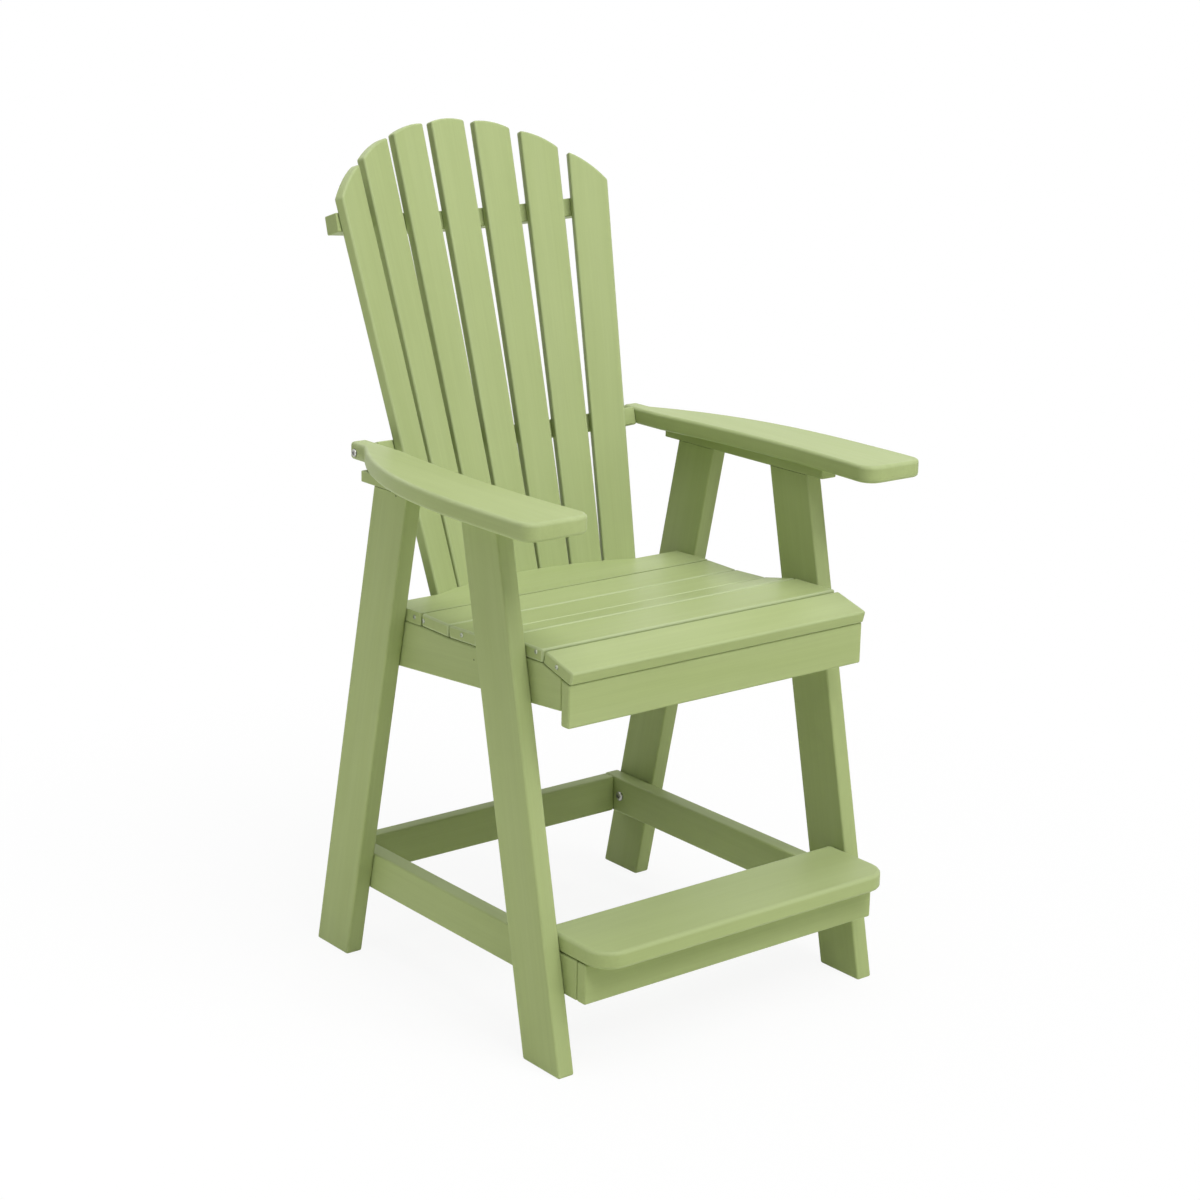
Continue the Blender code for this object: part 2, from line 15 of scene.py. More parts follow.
import bmesh
import bpy
from mathutils import Matrix, Vector
from mathutils.bvhtree import BVHTree

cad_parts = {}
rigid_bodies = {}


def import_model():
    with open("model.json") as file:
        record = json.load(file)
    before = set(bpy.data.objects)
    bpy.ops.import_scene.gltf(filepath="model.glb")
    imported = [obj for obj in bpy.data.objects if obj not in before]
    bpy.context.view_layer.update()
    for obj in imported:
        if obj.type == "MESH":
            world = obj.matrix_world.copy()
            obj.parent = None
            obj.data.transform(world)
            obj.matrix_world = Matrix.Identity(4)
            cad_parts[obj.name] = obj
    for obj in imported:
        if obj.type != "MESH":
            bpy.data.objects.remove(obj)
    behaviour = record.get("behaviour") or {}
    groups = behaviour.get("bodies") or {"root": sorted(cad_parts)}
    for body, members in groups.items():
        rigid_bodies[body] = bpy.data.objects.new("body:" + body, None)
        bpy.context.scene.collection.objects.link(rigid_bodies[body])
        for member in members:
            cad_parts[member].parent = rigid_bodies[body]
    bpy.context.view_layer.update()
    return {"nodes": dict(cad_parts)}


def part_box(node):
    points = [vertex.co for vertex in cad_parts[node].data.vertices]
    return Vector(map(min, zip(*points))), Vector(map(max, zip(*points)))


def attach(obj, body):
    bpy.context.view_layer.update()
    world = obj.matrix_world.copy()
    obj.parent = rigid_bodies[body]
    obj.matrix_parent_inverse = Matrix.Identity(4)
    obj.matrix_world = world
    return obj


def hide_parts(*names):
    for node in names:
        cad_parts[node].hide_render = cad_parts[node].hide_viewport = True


for leftover in list(bpy.data.objects):
    bpy.data.objects.remove(leftover, do_unlink=True)

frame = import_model()
boards = sorted(name for name in frame["nodes"] if "bolt" not in name)
bolts = sorted(name for name in frame["nodes"] if "bolt" in name)

# %% [markdown]
# ## The camera
#
# A photographer stands to the chair's left, a little above it, and uses a long lens.  A camera could be
# aimed with a constraint, but the picture has a slight roll, so the three turns are written out instead:
# the heading from +Y towards +X, the tilt from the horizon, which is negative because the camera looks
# down, and the roll of the picture.  All three are in radians.

# %% Camera
CAMERA_PLACE = Vector((-2.5387, -3.1752, 1.7586))
CAMERA_HEADING = 0.67864
CAMERA_TILT = -0.27268
CAMERA_ROLL = 0.02225
PICTURE_SIDE = 1200.0
FOCAL_PIXELS = 2580.7
SENSOR_WIDTH = 36.0


def add_object(name, data):
    """Puts a camera, a lamp or a mesh into the scene."""
    obj = bpy.data.objects.new(name, data)
    bpy.context.scene.collection.objects.link(obj)
    return obj


camera_data = bpy.data.cameras.new("camera")
camera_data.sensor_width = SENSOR_WIDTH
camera_data.lens = SENSOR_WIDTH * FOCAL_PIXELS / PICTURE_SIDE
camera = add_object("camera", camera_data)
camera_turn = (Matrix.Rotation(-CAMERA_HEADING, 4, "Z")
               @ Matrix.Rotation(math.pi / 2 + CAMERA_TILT, 4, "X")
               @ Matrix.Rotation(CAMERA_ROLL, 4, "Z"))
camera.matrix_world = Matrix.Translation(CAMERA_PLACE) @ camera_turn
bpy.context.scene.camera = camera
print(f"camera with a {camera_data.lens:.1f} mm lens")

# %% [markdown]
# ## A few words for node trees
#
# Materials are node trees.  Two small helpers keep the recipes readable: one adds a node and sets its
# sockets by name or number, the other starts a material and hands back its tree and its Principled shader.

# %% Node helpers


def add_node(tree, kind, sockets=None, **settings):
    """Adds a node; a socket is given a plain value, or another node's output to link to."""
    node = tree.nodes.new(kind)
    for name, value in settings.items():
        setattr(node, name, value)
    for name, value in (sockets or {}).items():
        if isinstance(value, bpy.types.NodeSocket):
            tree.links.new(value, node.inputs[name])
        else:
            node.inputs[name].default_value = value
    return node


def new_material(name):
    """Starts a material with nodes; gives back the material, its tree and its shader."""
    material = bpy.data.materials.new(name)
    material.use_nodes = True
    tree = material.node_tree
    return material, tree, tree.nodes["Principled BSDF"]


print(f"helpers {add_node.__name__} and {new_material.__name__}")

# %% [markdown]
# ## The board finish
#
# The boards are coloured right through and brushed along their length, so they show fine streaks in
# broader bands, a slow change of tone along each board, and a satin sheen.  A texture on world coordinates
# would run straight through every board in one direction.  Each board therefore stores its own coordinates
# in an attribute named `board_grain`: metres along, across and through the board.  Every noise here is
# stretched along the first.
#
# The router that rounds the edges leaves them smoother than the brushed faces, and use polishes those of
# the seat most.  These edges also get a painted highlight: their colour is made lighter, most on the seat,
# to stand in for the light that a rounded edge catches.  A second attribute says how much, face by face.

# %% Board finish
SAGE_PALE = (0.384, 0.450, 0.212, 1.0)
SAGE_DEEP = (0.358, 0.423, 0.189, 1.0)
STREAKS_PER_METRE = (5.0, 420.0, 420.0)
BANDS_PER_METRE = (4.0, 110.0, 110.0)
CLOUDS_PER_METRE = (2.2, 14.0, 14.0)
BRUSH_PER_METRE = (9.0, 900.0, 900.0)
FINE_DETAIL = 3.0
PLAIN_DETAIL = 2.0
NOISE_ROUGHNESS = 0.55
NOISE_LOW = 0.3
NOISE_HIGH = 0.7
STREAK_RANGE = (0.978, 1.022)
BAND_RANGE = (0.980, 1.020)
SATIN_RANGE = (0.38, 0.48)
SATIN_SPECULAR = 0.11
BRUSH_STRENGTH = 0.35
BRUSH_DEPTH = 0.00012
# Painted highlight: how much lighter the colour of a rounded edge is made, to stand in for the light it
# catches.
PAINTED_HIGHLIGHT_LIFT = (0.15, 0.13, 0.36)
NO_LIFT = (1.0, 1.0, 1.0)
EASED_GLOSS = 0.85


def grain_noise(tree, coordinates, repeats, detail):
    """Noise stretched along the board: the repeats are counted per metre along, across and through."""
    mapping = add_node(tree, "ShaderNodeMapping", {"Vector": coordinates, "Scale": repeats})
    noise = add_node(tree, "ShaderNodeTexNoise",
                     {"Vector": mapping.outputs["Vector"], "Scale": 1.0, "Detail": detail,
                      "Roughness": NOISE_ROUGHNESS})
    return noise.outputs["Fac"]


def around_middle(tree, noise, span):
    """Maps the usual spread of a noise to a span of values."""
    node = add_node(tree, "ShaderNodeMapRange",
                    {"Value": noise, "From Min": NOISE_LOW, "From Max": NOISE_HIGH,
                     "To Min": span[0], "To Max": span[1]})
    return node.outputs["Result"]


def make_board_finish():
    """A brushed satin material that reads the two attributes of a dressed board."""
    material, tree, shader = new_material("sage_board")
    grain = add_node(tree, "ShaderNodeAttribute", attribute_name="board_grain").outputs["Vector"]
    streaks = grain_noise(tree, grain, STREAKS_PER_METRE, FINE_DETAIL)
    bands = grain_noise(tree, grain, BANDS_PER_METRE, PLAIN_DETAIL)
    clouds = grain_noise(tree, grain, CLOUDS_PER_METRE, PLAIN_DETAIL)
    brush = grain_noise(tree, grain, BRUSH_PER_METRE, PLAIN_DETAIL)
    tone = add_node(tree, "ShaderNodeValToRGB", {"Fac": clouds})
    tone.color_ramp.elements[0].position = NOISE_LOW
    tone.color_ramp.elements[0].color = SAGE_DEEP
    tone.color_ramp.elements[1].position = NOISE_HIGH
    tone.color_ramp.elements[1].color = SAGE_PALE
    lines = add_node(tree, "ShaderNodeMath",
                     {0: around_middle(tree, streaks, STREAK_RANGE),
                      1: around_middle(tree, bands, BAND_RANGE)},
                     operation="MULTIPLY")
    highlight_and_polish = add_node(tree, "ShaderNodeAttribute", attribute_name="edge_highlight_and_polish").outputs["Fac"]
    # Painted highlight: the colour of the rounded edges is lifted to stand in for the light they catch.
    highlight_lift = add_node(tree, "ShaderNodeVectorMath", {0: highlight_and_polish, 1: PAINTED_HIGHLIGHT_LIFT, 2: NO_LIFT},
                    operation="MULTIPLY_ADD")
    streaked = add_node(tree, "ShaderNodeVectorMath",
                        {0: tone.outputs["Color"], 1: lines.outputs["Value"]}, operation="MULTIPLY")
    colour = add_node(tree, "ShaderNodeVectorMath",
                      {0: streaked.outputs["Vector"], 1: highlight_lift.outputs["Vector"]}, operation="MULTIPLY")
    satin = around_middle(tree, streaks, SATIN_RANGE)
    polish = add_node(tree, "ShaderNodeMapRange", {"Value": highlight_and_polish, "To Min": 1.0, "To Max": EASED_GLOSS})
    gloss = add_node(tree, "ShaderNodeMath",
                     {0: satin, 1: polish.outputs["Result"]}, operation="MULTIPLY")
    relief = add_node(tree, "ShaderNodeBump",
                      {"Height": brush, "Strength": BRUSH_STRENGTH, "Distance": BRUSH_DEPTH})
    tree.links.new(colour.outputs["Vector"], shader.inputs["Base Color"])
    tree.links.new(gloss.outputs["Value"], shader.inputs["Roughness"])
    tree.links.new(relief.outputs["Normal"], shader.inputs["Normal"])
    shader.inputs["Specular IOR Level"].default_value = SATIN_SPECULAR
    return material


board_finish = make_board_finish()
print(f"{board_finish.name}: {len(board_finish.node_tree.nodes)} nodes")

# %% [markdown]
# ## Dressing the boards
#
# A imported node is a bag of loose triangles.  Each board gets a copy whose triangles are welded, with flat
# faces joined again, so that smooth shading can roll round the eased edges and stay flat elsewhere.  A
# Weighted Normal modifier does that: it lets the large faces decide the shading at their corners.  Edges
# that were sawn square and never rounded, such as the legs' tops, are marked sharp first.
#
# The grain direction of a straight board is its longest edge.  A sawn curve, such as an arm, has only
# short edges, and there the grain runs along the longest side of its box, as it did in the plank.  Each
# board's pattern is shifted by its number, so that no two boards look alike.

# %% Dressed boards
WELD_DISTANCE = 1e-5
FLAT_ANGLE = math.radians(0.5)
SQUARE_ANGLE = math.radians(50.0)
LARGE_FACE_WEIGHT = 100
EASED_WIDTH = 0.0036
# Share of the painted highlight and of the extra smoothness on the rounded edges, by board.
HIGHLIGHT_AND_POLISH_SHARES = {"seat_slat": 1.0, "seat_nosing": 0.4, "back_slat": 0.3, "arm": 0.3, "footrest_board": 0.3}
STRAIGHT_SHARE = 0.6
GRAIN_STEP = Vector((3.7, 1.3, 0.9))


def add_piece(name, bm, material):
    """Makes an object with one material from a bmesh, and frees the bmesh."""
    mesh = bpy.data.meshes.new(name)
    bm.to_mesh(mesh)
    bm.free()
    mesh.materials.append(material)
    return add_object(name, mesh)


def grain_axes(bm, low, high):
    """Directions along, across and through a board."""
    spine = max(bm.edges, key=lambda edge: edge.calc_length())
    along = spine.verts[1].co - spine.verts[0].co
    if along.length < STRAIGHT_SHARE * max(high - low):
        longest = max(range(3), key=lambda axis: (high - low)[axis])
        along = Vector([float(axis == longest) for axis in range(3)])
    along.normalize()
    broad = max(bm.faces, key=lambda face: face.calc_area())
    through = (broad.normal - along * broad.normal.dot(along)).normalized()
    return along, through.cross(along), through


def mark_grain(bm, low, high, shift):
    """Stores each corner's shifted place along, across and through the board."""
    axes = grain_axes(bm, low, high)
    middle = (low + high) / 2
    layer = bm.verts.layers.float_vector.new("board_grain")
    for vert in bm.verts:
        offset = vert.co - middle
        vert[layer] = Vector([offset.dot(axis) for axis in axes]) + shift


def mark_edge_highlight_and_polish(bm, name):
    """Stores, face by face, how much painted highlight and how much extra smoothness each narrow face gets.
    """
    share = next((share for start, share in HIGHLIGHT_AND_POLISH_SHARES.items() if name.startswith(start)), 0.0)
    layer = bm.faces.layers.float.new("edge_highlight_and_polish")
    for face in bm.faces:
        width = face.calc_area() / max(edge.calc_length() for edge in face.edges)
        face[layer] = share if width < EASED_WIDTH else 0.0


def dress_board(name, number):
    """Makes the welded and finished copy of one board."""
    low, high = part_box(name)
    bm = bmesh.new()
    bm.from_mesh(frame["nodes"][name].data)
    bmesh.ops.remove_doubles(bm, verts=bm.verts, dist=WELD_DISTANCE)
    bmesh.ops.dissolve_limit(bm, angle_limit=FLAT_ANGLE, verts=bm.verts, edges=bm.edges)
    mark_grain(bm, low, high, number * GRAIN_STEP)
    mark_edge_highlight_and_polish(bm, name)
    for face in bm.faces:
        face.smooth = True
        face.material_index = 0
    piece = add_piece(name + "_dressed", bm, board_finish)
    piece.data.set_sharp_from_angle(angle=SQUARE_ANGLE)
    shading = piece.modifiers.new("edge_shading", "WEIGHTED_NORMAL")
    shading.weight = LARGE_FACE_WEIGHT
    shading.keep_sharp = True
    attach(piece, "root")
    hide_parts(name)
    return piece


dressed = [dress_board(name, number) for number, name in enumerate(boards)]
face_count = sum(len(piece.data.polygons) for piece in dressed)
print(f"{len(dressed)} dressed boards with {face_count} faces")

# %% [markdown]
# ## Steel fasteners
#
# The bolts are bare stainless steel and the screws have a dull coating.  Small holes in the sides get a
# painted shade: dark metal plugs stand in for the shade inside them.  One recipe makes all three from pairs
# of colours: a metal whose tint and roughness vary a little in fine flecks.  The pattern uses Object
# coordinates, because the fasteners are too small to need their own.

# %% Steel finishes
STAINLESS = ((0.34, 0.34, 0.32, 1.0), (0.44, 0.44, 0.41, 1.0))
COATED_STEEL = ((0.30, 0.33, 0.25, 1.0), (0.39, 0.42, 0.32, 1.0))
STEEL_POLISH = 0.34
STEEL_SCUFF = 0.50
FLECKS_PER_METRE = 900.0


def make_steel(name, colours):
    """A metal between two colours."""
    material, tree, shader = new_material(name)
    place = add_node(tree, "ShaderNodeTexCoord").outputs["Object"]
    flecks = add_node(tree, "ShaderNodeTexNoise",
                      {"Vector": place, "Scale": FLECKS_PER_METRE, "Detail": PLAIN_DETAIL})
    gloss = add_node(tree, "ShaderNodeMapRange",
                     {"Value": flecks.outputs["Fac"], "To Min": STEEL_POLISH, "To Max": STEEL_SCUFF})
    tint = add_node(tree, "ShaderNodeValToRGB", {"Fac": flecks.outputs["Fac"]})
    for element, colour in zip(tint.color_ramp.elements, colours):
        element.color = colour
    tree.links.new(tint.outputs["Color"], shader.inputs["Base Color"])
    tree.links.new(gloss.outputs["Result"], shader.inputs["Roughness"])
    shader.inputs["Metallic"].default_value = 1.0
    return material


stainless = make_steel("stainless", STAINLESS)
coated_steel = make_steel("coated_steel", COATED_STEEL)
print(f"{stainless.name} and {coated_steel.name}: {len(stainless.node_tree.nodes)} nodes each")

# %% [markdown]
# ## Bolts with a socket in the head
#
# A button-head bolt is a turned part, so its outline is spun round the axis.  The outline starts at the rim
# of the socket and not on the axis, which leaves a round opening in the crown.  The opening's edge loop is
# then extruded twice, in to the shape of the drive and down to its floor, and filled there.  Screws are
# made the same way, with a square drive.  The extrude operator makes its faces in an order that changes
# from run to run, so they are sorted at the end and the mesh comes out the same each time.

# %% Turned fasteners
TURN_STEPS = 24
DOME_STEPS = 5
SEAM_DISTANCE = 1e-7
MOUTH_SHARE = 1.25
DRIVE_DEPTH_SHARE = 0.7
SORT_DIRECTION = Vector((1.0, 1.7, 2.9))


def drive_rim(angle, reach, sides):
    """Distance from the axis to the side of a drive with that many sides, at an angle."""
    sector = 2 * math.pi / sides
    return reach * math.cos(sector / 2) / math.cos(angle % sector - sector / 2)


def extrude_loop(bm, edges):
    """Extrudes an edge loop and gives back the new vertices and edges."""
    grown = bmesh.ops.extrude_edge_only(bm, edges=edges)["geom"]
    verts = [item for item in grown if isinstance(item, bmesh.types.BMVert)]
    return verts, [item for item in grown if isinstance(item, bmesh.types.BMEdge) and item.is_boundary]


def sort_parts(bm):
    """Orders edges and faces by place, because extruding leaves them in a chance order."""
    bm.edges.sort(key=lambda edge: SORT_DIRECTION.dot(edge.verts[0].co + edge.verts[1].co))
    bm.faces.sort(key=lambda face: SORT_DIRECTION.dot(face.calc_center_median()))


def turned_fastener(head_radius, head_height, edge_height, drive_reach, drive_sides, shank_radius, length):
    """A domed head on a plain shank, with its seat at z = 0 and its crown towards +Z."""
    mouth_radius = MOUTH_SHARE * drive_reach
    outline = []
    for step in range(DOME_STEPS + 1):
        swing = math.pi / 2 * step / DOME_STEPS
        outline.append((mouth_radius + (head_radius - mouth_radius) * math.sin(swing),
                        edge_height + (head_height - edge_height) * math.cos(swing)))
    outline += [(head_radius, 0.0), (shank_radius, 0.0), (shank_radius, -length), (0.0, -length)]
    bm = bmesh.new()
    verts = [bm.verts.new((radius, 0.0, height)) for radius, height in outline]
    edges = [bm.edges.new(pair) for pair in zip(verts, verts[1:])]
    bmesh.ops.spin(bm, geom=verts + edges, cent=(0, 0, 0), axis=(0, 0, 1), angle=2 * math.pi,
                   steps=TURN_STEPS, use_merge=True)
    bmesh.ops.remove_doubles(bm, verts=bm.verts, dist=SEAM_DISTANCE)
    mouth, mouth_edges = extrude_loop(bm, [edge for edge in bm.edges if edge.is_boundary])
    for vert in mouth:
        angle = math.atan2(vert.co.y, vert.co.x)
        reach = drive_rim(angle, drive_reach, drive_sides)
        vert.co.xy = (reach * math.cos(angle), reach * math.sin(angle))
    base, base_edges = extrude_loop(bm, mouth_edges)
    bmesh.ops.translate(bm, verts=base, vec=(0.0, 0.0, -DRIVE_DEPTH_SHARE * head_height))
    bmesh.ops.edgeloop_fill(bm, edges=base_edges)
    bmesh.ops.recalc_face_normals(bm, faces=bm.faces)
    sort_parts(bm)
    return bm


print(f"fasteners are turned in {TURN_STEPS} steps")

# %% [markdown]
# One fastener is made once and copied to all its places, and the copies become one piece.  A place is a
# point on the surface and the direction in which the crown faces.

# %% Placed fasteners
SHARP_RIM_ANGLE = math.radians(35.0)


def add_fasteners(name, bm, places, finish, replaced=()):
    """One piece made of copies of a fastener; it may stand for nodes of the frame."""
    scratch = bpy.data.meshes.new("scratch")
    whole = bmesh.new()
    for point, outward in places:
        turn = Vector(outward).to_track_quat("Z", "Y").to_matrix().to_4x4()
        single = bm.copy()
        bmesh.ops.transform(single, matrix=Matrix.Translation(point) @ turn, verts=single.verts)
        single.to_mesh(scratch)
        whole.from_mesh(scratch)
        single.free()
    bpy.data.meshes.remove(scratch)
    piece = add_piece(name, whole, finish)
    piece.data.shade_smooth()
    piece.data.set_sharp_from_angle(angle=SHARP_RIM_ANGLE)
    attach(piece, "root")
    if replaced:
        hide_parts(*replaced)


print(f"rims sharper than {math.degrees(SHARP_RIM_ANGLE):.0f} degrees stay crisp")

# %% [markdown]
# The frame's bolts lie along X.  A bolt in an arm shows its head on the outside, and the others show theirs
# inside the legs, so the sign of X and the name together tell which way the crown faces.

# %% Bolts
HEAD_HEIGHT = 0.0045
ARM_HEAD_HEIGHT = 0.0025
HEAD_EDGE_SHARE = 0.3
SHANK_RADIUS = 0.004
SOCKET_REACH = 0.0033
SOCKET_SIDES = 6


def dress_bolt(name):
    """Makes a bolt with a socket in the box of the frame's bolt."""
    low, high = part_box(name)
    middle = (low + high) / 2
    side = math.copysign(1.0, middle.x)
    outward, height = (side, ARM_HEAD_HEIGHT) if name.startswith("arm") else (-side, HEAD_HEIGHT)
    seat = (high.x - height) if outward > 0 else (low.x + height)
    radius = (high.z - low.z) / 2
    length = high.x - low.x - height
    bm = turned_fastener(radius, height, HEAD_EDGE_SHARE * height, SOCKET_REACH, SOCKET_SIDES,
                         SHANK_RADIUS, length)
    place = (Vector((seat, middle.y, middle.z)), Vector((outward, 0.0, 0.0)))
    add_fasteners(name + "_turned", bm, [place], stainless, [name])
    bm.free()


for name in bolts:
    dress_bolt(name)
print(f"{len(bolts)} socket bolts")

# %% [markdown]
# ## Screws in the seat slats
#
# A small screw shows in each end of the seat slats.  Its place is given as a share of the slat's depth from
# its front edge, and a rise above the middle of the slat, because that is how a maker would mark it out.

# %% Seat screws
SIDES = (("left", -1), ("right", 1))
SCREW_DRIVE_SIDES = 4
SEAT_SCREW = {
    "head_radius": 0.0038,
    "head_height": 0.0014,
    "edge_height": 0.0004,
    "drive_reach": 0.0018,
    "drive_sides": SCREW_DRIVE_SIDES,
    "shank_radius": 0.0016,
    "length": 0.012,
}
SEAT_SCREW_PLACES = {
    "seat_slat_1": (0.14, 0.0015),
    "seat_slat_2": (0.92, 0.0),
    "seat_slat_3": (0.52, 0.0010),
    "seat_slat_4": (0.50, 0.0),
    "seat_slat_5": (0.17, 0.0040),
    "seat_nosing": (0.53, 0.0020),
}

seat_screw = turned_fastener(**SEAT_SCREW)
for side, sign in SIDES:
    places = []
    for slat, (share, rise) in SEAT_SCREW_PLACES.items():
        low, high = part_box(slat)
        point = (sign * high.x, low.y + share * (high.y - low.y), (low.z + high.z) / 2 + rise)
        places.append((point, (sign, 0, 0)))
    add_fasteners(f"seat_screws_{side}", seat_screw, places, coated_steel)
seat_screw.free()
print(f"{len(SIDES) * len(SEAT_SCREW_PLACES)} screws in the ends of the seat slats")

# %% [markdown]
# ## Screws behind the back
#
# The seven back slats are screwed on from behind, through each of the three curved rails.  The rails are
# bent and the slats fan out, so the places are found by looking: a row of rays from the front finds the
# middle of a slat at the rail's height, and one ray from behind finds the rail's surface there.

# %% Rail screws
RAIL_SCREW = {
    "head_radius": 0.0042,
    "head_height": 0.0020,
    "edge_height": 0.0007,
    "drive_reach": 0.0020,
    "drive_sides": SCREW_DRIVE_SIDES,
    "shank_radius": 0.0018,
    "length": 0.014,
}
PROBE_STEPS = 80
PROBE_START = 2.0
TO_THE_REAR = Vector((0.0, 1.0, 0.0))


def board_surface(name):
    """The surface of one of the frame's boards, for rays to hit."""
    bm = bmesh.new()
    bm.from_mesh(frame["nodes"][name].data)
    surface = BVHTree.FromBMesh(bm)
    bm.free()
    return surface


def slat_middle(surface, low, high, height):
    """X of the middle of a slat at a height, or None where the slat doesn't reach it."""
    row = [low.x + (high.x - low.x) * step / PROBE_STEPS for step in range(PROBE_STEPS + 1)]
    hits = [x for x in row if surface.ray_cast((x, -PROBE_START, height), TO_THE_REAR)[0]]
    return sum(hits) / len(hits) if hits else None


slat_names = [name for name in boards if name.startswith("back_slat")]
slat_surfaces = {name: board_surface(name) for name in slat_names}
rail_screw = turned_fastener(**RAIL_SCREW)
for rail in [name for name in boards if name.startswith("back_rail")]:
    rail_low, rail_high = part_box(rail)
    height = (rail_low.z + rail_high.z) / 2
    rail_surface = board_surface(rail)
    places = []
    for slat in slat_names:
        middle = slat_middle(slat_surfaces[slat], *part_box(slat), height)
        if middle is None:
            continue
        point, normal = rail_surface.ray_cast((middle, PROBE_START, height), -TO_THE_REAR)[:2]
        if point:
            places.append((point, normal))
    add_fasteners(f"{rail}_screws", rail_screw, places, coated_steel)
    print(f"{len(places)} screws in {rail}, at {[round(point.x, 3) for point, normal in places]}")
rail_screw.free()

# %% [markdown]
# ## Painted shade of small holes in the sides
#
# Two small holes show on each side of the chair as dark dots: one in the rear leg, just under the arm
# plate, and one in the seat rail.  Their shade is painted: a short, dark, round plug that is almost flush
# and stands a hair proud of the board stands in for it.  A ray from the side finds the board's surface.

# %% Painted hole shade
HOLE_SHADE_RADIUS = 0.0015
HOLE_SHADE_PROUD = 0.0002
HOLE_SHADE_LENGTH = 0.010
HOLE_SHADE_FACETS = 16
# Painted shade: dark colours for the plugs that stand in for the shade inside the holes.
HOLE_SHADE_COLOURS = ((0.08, 0.10, 0.04, 1.0), (0.12, 0.15, 0.06, 1.0))
HOLE_SHADE_PLACES = {"leg_rear": (0.0762, 0.8241), "seat_rail": (-0.0918, 0.5940)}

# The material of the plugs paints the shade of the holes.
hole_shade_finish = make_steel("painted_hole_shade", HOLE_SHADE_COLOURS)
hole_shade_turn = Matrix.Rotation(math.pi / 2, 4, "Y")
for side, sign in SIDES:
    bm = bmesh.new()
    for stem, (y, z) in HOLE_SHADE_PLACES.items():
        point = board_surface(f"{stem}_{side}").ray_cast((sign * PROBE_START, y, z), (-sign, 0.0, 0.0))[0]
        middle = point + Vector((sign * (HOLE_SHADE_PROUD - HOLE_SHADE_LENGTH / 2), 0.0, 0.0))
        bmesh.ops.create_cone(bm, cap_ends=True, segments=HOLE_SHADE_FACETS, radius1=HOLE_SHADE_RADIUS,
                              radius2=HOLE_SHADE_RADIUS, depth=HOLE_SHADE_LENGTH,
                              matrix=Matrix.Translation(middle) @ hole_shade_turn)
    painted_hole_shades = add_piece(f"side_hole_shades_{side}", bm, hole_shade_finish)
    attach(painted_hole_shades, "root")
print(f"{len(SIDES) * len(HOLE_SHADE_PLACES)} pins in the sides")

# %% [markdown]
# ## A white studio
#
# The chair stands on a plain pale floor.  The floor and the world are white to the camera through Light
# Path, so no extra light is needed to bleach them, and the floor still takes the chair's shadow.  The world
# gives no light of its own.  The floor looks neutral, but the light that it throws up under the chair is a
# little warm.
#
# The Mix node uses the same socket names for each type of data, so its colours are picked by number.

# %% Floor and world
FLOOR_SIDE = 12.0
FLOOR_COLOUR = (0.86, 0.86, 0.86, 1.0)
FLOOR_BOUNCE = (0.84, 0.87, 0.68, 1.0)
FLOOR_ROUGHNESS = 0.9
FLOOR_WHITE_NEAR = 0.90
SHADOW_START = 0.3
SHADOW_REACH = 1.6
WORLD_STRENGTH = 0.0
WHITE = (1.0, 1.0, 1.0, 1.0)
MIX_FACTOR = 0
MIX_COLOUR_A = 6
MIX_COLOUR_B = 7
MIX_COLOUR_RESULT = 2


def seen_directly(tree):
    """One for rays from the camera and for those that mirror or pass on what it sees."""
    light_path = add_node(tree, "ShaderNodeLightPath")
    camera_ray, glossy_ray = light_path.outputs["Is Camera Ray"], light_path.outputs["Is Glossy Ray"]
    glossy = add_node(tree, "ShaderNodeMath", {0: camera_ray, 1: glossy_ray}, operation="MAXIMUM")
    passed_ray = light_path.outputs["Is Transmission Ray"]
    clear = add_node(tree, "ShaderNodeMath", {0: glossy.outputs[0], 1: passed_ray}, operation="MAXIMUM")
    return clear.outputs[0]


def make_floor_finish():
    """Pale paper that turns white to the camera away from the chair's shadow."""
    material, tree, shader = new_material("studio_floor")
    seen = seen_directly(tree)
    paper = add_node(tree, "ShaderNodeMix",
                     {MIX_FACTOR: seen, MIX_COLOUR_A: FLOOR_BOUNCE, MIX_COLOUR_B: FLOOR_COLOUR},
                     data_type="RGBA")
    tree.links.new(paper.outputs[MIX_COLOUR_RESULT], shader.inputs["Base Color"])
    shader.inputs["Roughness"].default_value = FLOOR_ROUGHNESS
    shader.inputs["Specular IOR Level"].default_value = 0.0
    glow = add_node(tree, "ShaderNodeEmission", {"Color": WHITE, "Strength": 1.0})
    place = add_node(tree, "ShaderNodeTexCoord").outputs["Object"]
    distance = add_node(tree, "ShaderNodeVectorMath", {0: place}, operation="LENGTH")
    whiteness = add_node(tree, "ShaderNodeMapRange",
                         {"Value": distance.outputs["Value"],
                          "From Min": SHADOW_START, "From Max": SHADOW_REACH,
                          "To Min": FLOOR_WHITE_NEAR, "To Max": 1.0})
    share = add_node(tree, "ShaderNodeMath",
                     {0: seen, 1: whiteness.outputs["Result"]}, operation="MULTIPLY")
    mix = add_node(tree, "ShaderNodeMixShader", {0: share.outputs[0], 1: shader.outputs["BSDF"],
                                                 2: glow.outputs["Emission"]})
    tree.links.new(mix.outputs[0], tree.nodes["Material Output"].inputs["Surface"])
    return material


def make_floor():
    """One large flat face."""
    bm = bmesh.new()
    bmesh.ops.create_grid(bm, x_segments=1, y_segments=1, size=FLOOR_SIDE / 2)
    floor = add_piece("studio_floor", bm, make_floor_finish())


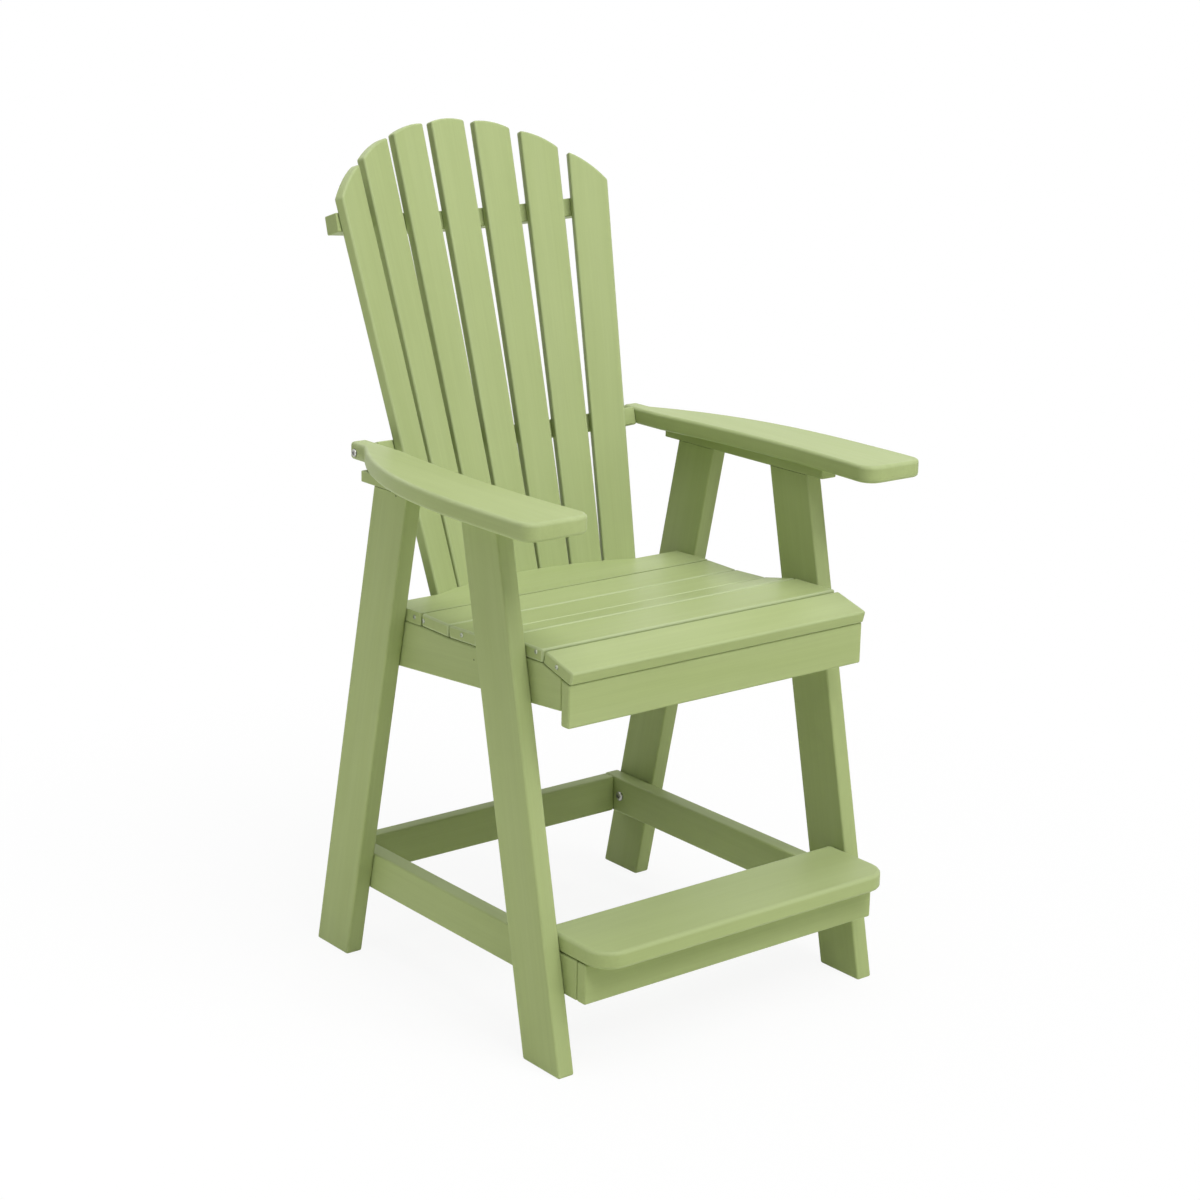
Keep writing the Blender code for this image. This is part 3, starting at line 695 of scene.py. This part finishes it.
def make_world():
    """A world that is white where it is seen and gives WORLD_STRENGTH as light."""
    world = bpy.data.worlds.new("studio_world")
    world.use_nodes = True
    tree = world.node_tree
    tree.nodes.clear()
    ambient = add_node(tree, "ShaderNodeBackground", {"Color": WHITE, "Strength": WORLD_STRENGTH})
    backdrop = add_node(tree, "ShaderNodeBackground", {"Color": WHITE, "Strength": 1.0})
    mix = add_node(tree, "ShaderNodeMixShader", {0: seen_directly(tree), 1: ambient.outputs[0],
                                                 2: backdrop.outputs[0]})
    output = add_node(tree, "ShaderNodeOutputWorld")
    tree.links.new(mix.outputs[0], output.inputs["Surface"])
    bpy.context.scene.world = world


make_floor()
make_world()
bpy.context.scene.view_settings.view_transform = "Standard"
print(f"a floor {FLOOR_SIDE:g} m across and a white world")

# %% [markdown]
# ## Soft lamps
#
# A studio surrounds a chair with soft boxes.  Small lamps would draw hard edges on the satin boards, so
# most of these are squares of several metres, and all face the middle of the chair.  The one above the
# front does most of the work.  Low ones in front and at the left open up the shade under the seat, and
# those at the rear and the right keep the far faces from going dull.  Each row gives a lamp's place, the
# side of its square in metres and its power in watts.

# %% Lamps
LAMPS = {
    "top_lamp": ((0.0, 0.0, 7.0), 4.0, 128.0),
    "front_lamp": ((0.0, -4.0, 6.5), 4.5, 422.0),
    "right_lamp": ((4.5, -6.0, 4.0), 4.0, 96.0),
    "left_top_lamp": ((-3.5, 0.3, 5.5), 3.0, 23.0),
    "left_rear_lamp": ((-5.0, 4.0, 4.5), 4.0, 44.0),
    "front_left_lamp": ((-4.0, -5.0, 3.2), 3.0, 6.0),
    "left_low_lamp": ((-1.6, 0.2, 0.4), 0.7, 3.8),
    "front_low_lamp": ((0.3, -4.5, 0.8), 1.4, 16.0),
    "rear_top_lamp": ((0.0, 4.5, 5.0), 3.5, 42.0),
    "rear_low_lamp": ((0.5, 5.0, 2.6), 2.5, 16.0),
    "back_right_lamp": ((3.6, 4.2, 2.3), 2.8, 2.0),
    "back_right_high_lamp": ((3.4, 3.0, 4.4), 3.0, 30.0),
}
LAMP_TARGET = Vector((0.0, 0.0, 0.65))


def add_lamp(name, place, side, watts):
    """A square lamp that faces the middle of the chair."""
    data = bpy.data.lights.new(name, "AREA")
    data.shape = "SQUARE"
    data.size = side
    data.energy = watts
    lamp = add_object(name, data)
    lamp.location = place
    lamp.rotation_euler = (LAMP_TARGET - lamp.location).to_track_quat("-Z", "Y").to_euler()


for name, (place, side, watts) in LAMPS.items():
    add_lamp(name, place, side, watts)
print(f"{len(LAMPS)} soft lamps")
